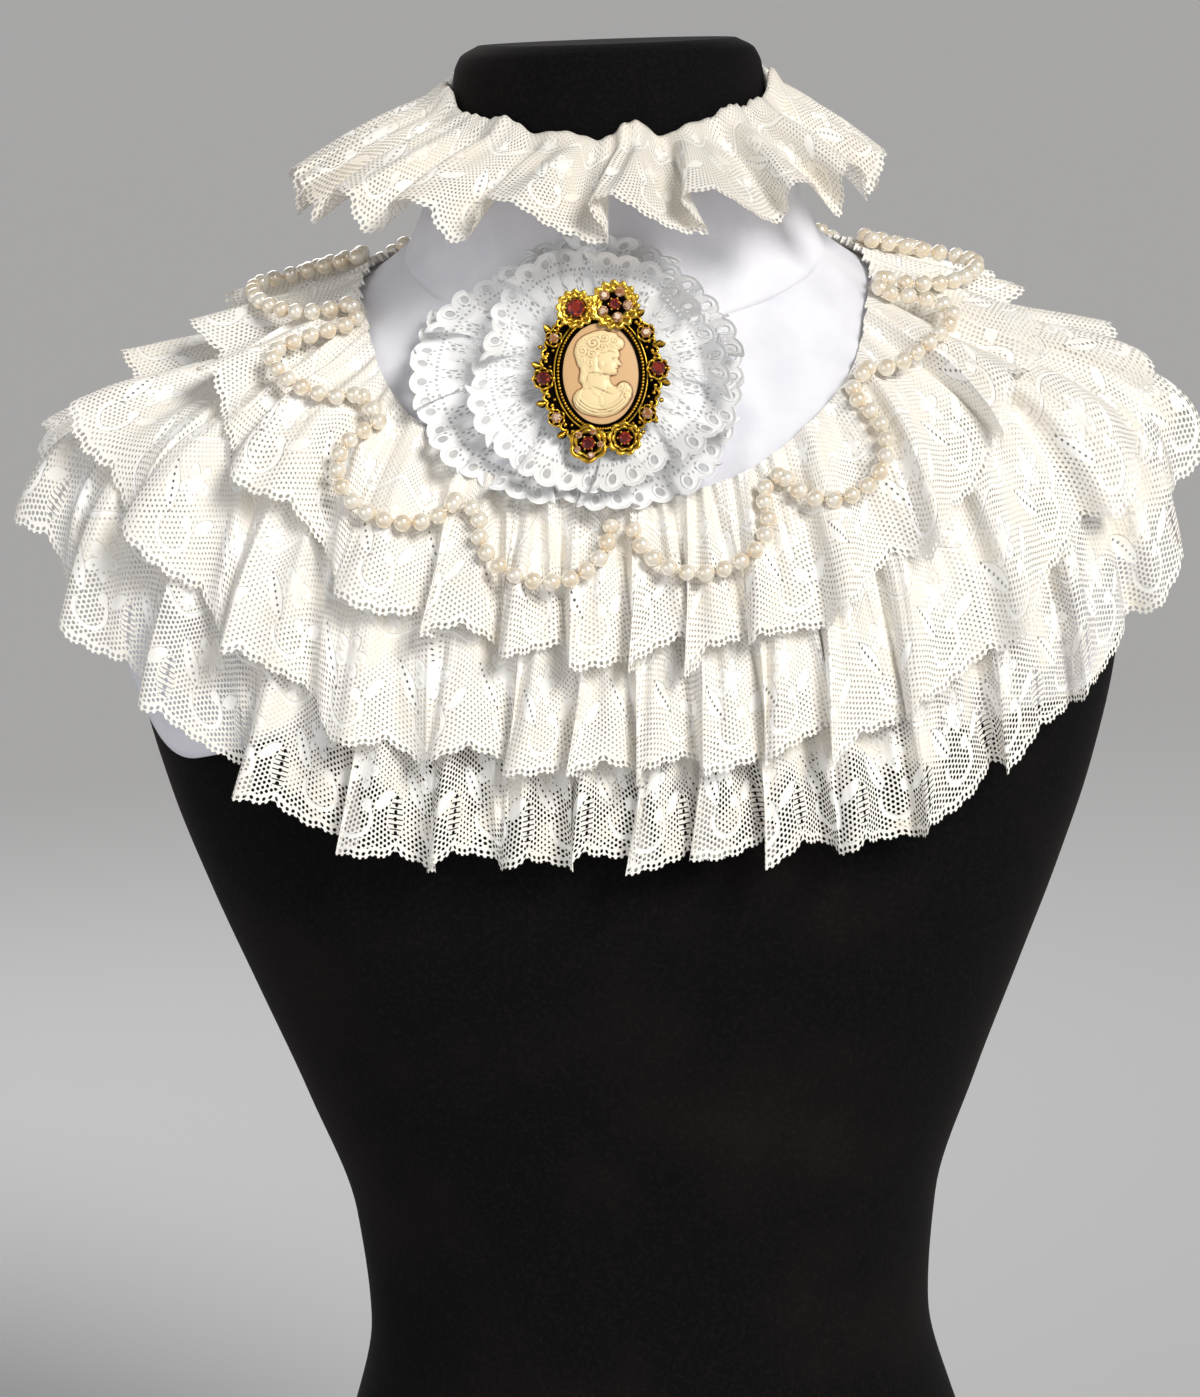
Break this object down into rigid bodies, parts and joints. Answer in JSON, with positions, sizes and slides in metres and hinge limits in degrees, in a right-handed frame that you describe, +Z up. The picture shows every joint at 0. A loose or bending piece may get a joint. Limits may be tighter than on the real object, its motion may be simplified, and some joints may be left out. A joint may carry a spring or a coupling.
{
  "type": "ruffled lace collar on a dress form",
  "caption": "High-necked cotton and lace costume collar with gathered tiers, neck frill, rosette, cameo brooch and pearl swags, on a limbless velvet dress form.",
  "frame": {"origin": "middle of the dress form's flat base, on the surface it stands on", "axes": "+Z up through the neck, -Y towards the collar's front, +X towards the viewer's right"},
  "size_m": [0.4495, 0.2627, 0.709],
  "materials": {
    "antique_gold": "cast and worn",
    "black_velvet": "short dense nap",
    "blackened_gold": "cast and darkened",
    "cream_pearl": "pearl lacquer",
    "cream_resin": "moulded satin",
    "garnet_glass": "polished, on foil",
    "ivory_lace": "machine-made net lace",
    "peach_resin": "moulded satin",
    "white_cotton": "plain woven",
    "white_eyelet_lace": "machine-made cotton lace"
  },
  "bodies": {
    "root": {"brooch_backplate": "blackened_gold", "brooch_bezel": "antique_gold", "brooch_flower_bottom_left": "antique_gold", "brooch_flower_bottom_right": "antique_gold", "brooch_flower_left": "antique_gold", "brooch_flower_lower_left": "antique_gold", "brooch_flower_lower_right": "antique_gold", "brooch_flower_right": "antique_gold", "brooch_flower_top_left": "antique_gold", "brooch_flower_top_right": "antique_gold", "brooch_flower_upper_left": "antique_gold", "brooch_flower_upper_right": "antique_gold", "brooch_frame": "antique_gold", "brooch_stone_bottom_left": "garnet_glass", "brooch_stone_bottom_right": "garnet_glass", "brooch_stone_left": "garnet_glass", "brooch_stone_lower_left": "garnet_glass", "brooch_stone_lower_right": "garnet_glass", "brooch_stone_right": "garnet_glass", "brooch_stone_top_left": "garnet_glass", "brooch_stone_top_right": "garnet_glass", "brooch_stone_upper_left": "garnet_glass", "brooch_stone_upper_right": "garnet_glass", "cameo_plaque": "peach_resin", "cameo_relief": "cream_resin", "dress_form": "black_velvet", "neck_button_1": "cream_pearl", "neck_button_2": "cream_pearl", "neck_button_3": "cream_pearl", "neck_ruffle": "ivory_lace", "pearl_swag_left_1": "cream_pearl", "pearl_swag_left_2": "cream_pearl", "pearl_swag_left_3": "cream_pearl", "pearl_swag_left_4": "cream_pearl", "pearl_swag_left_5": "cream_pearl", "pearl_swag_left_6": "cream_pearl", "pearl_swag_left_7": "cream_pearl", "pearl_swag_right_1": "cream_pearl", "pearl_swag_right_2": "cream_pearl", "pearl_swag_right_3": "cream_pearl", "pearl_swag_right_4": "cream_pearl", "pearl_swag_right_5": "cream_pearl", "pearl_swag_right_6": "cream_pearl", "pearl_swag_right_7": "cream_pearl", "rosette_back": "white_eyelet_lace", "rosette_front": "white_eyelet_lace", "ruffle_lower": "ivory_lace", "ruffle_middle": "ivory_lace", "ruffle_upper": "ivory_lace", "stand_collar": "white_cotton", "yoke": "white_cotton"}
  },
  "joints": []
}
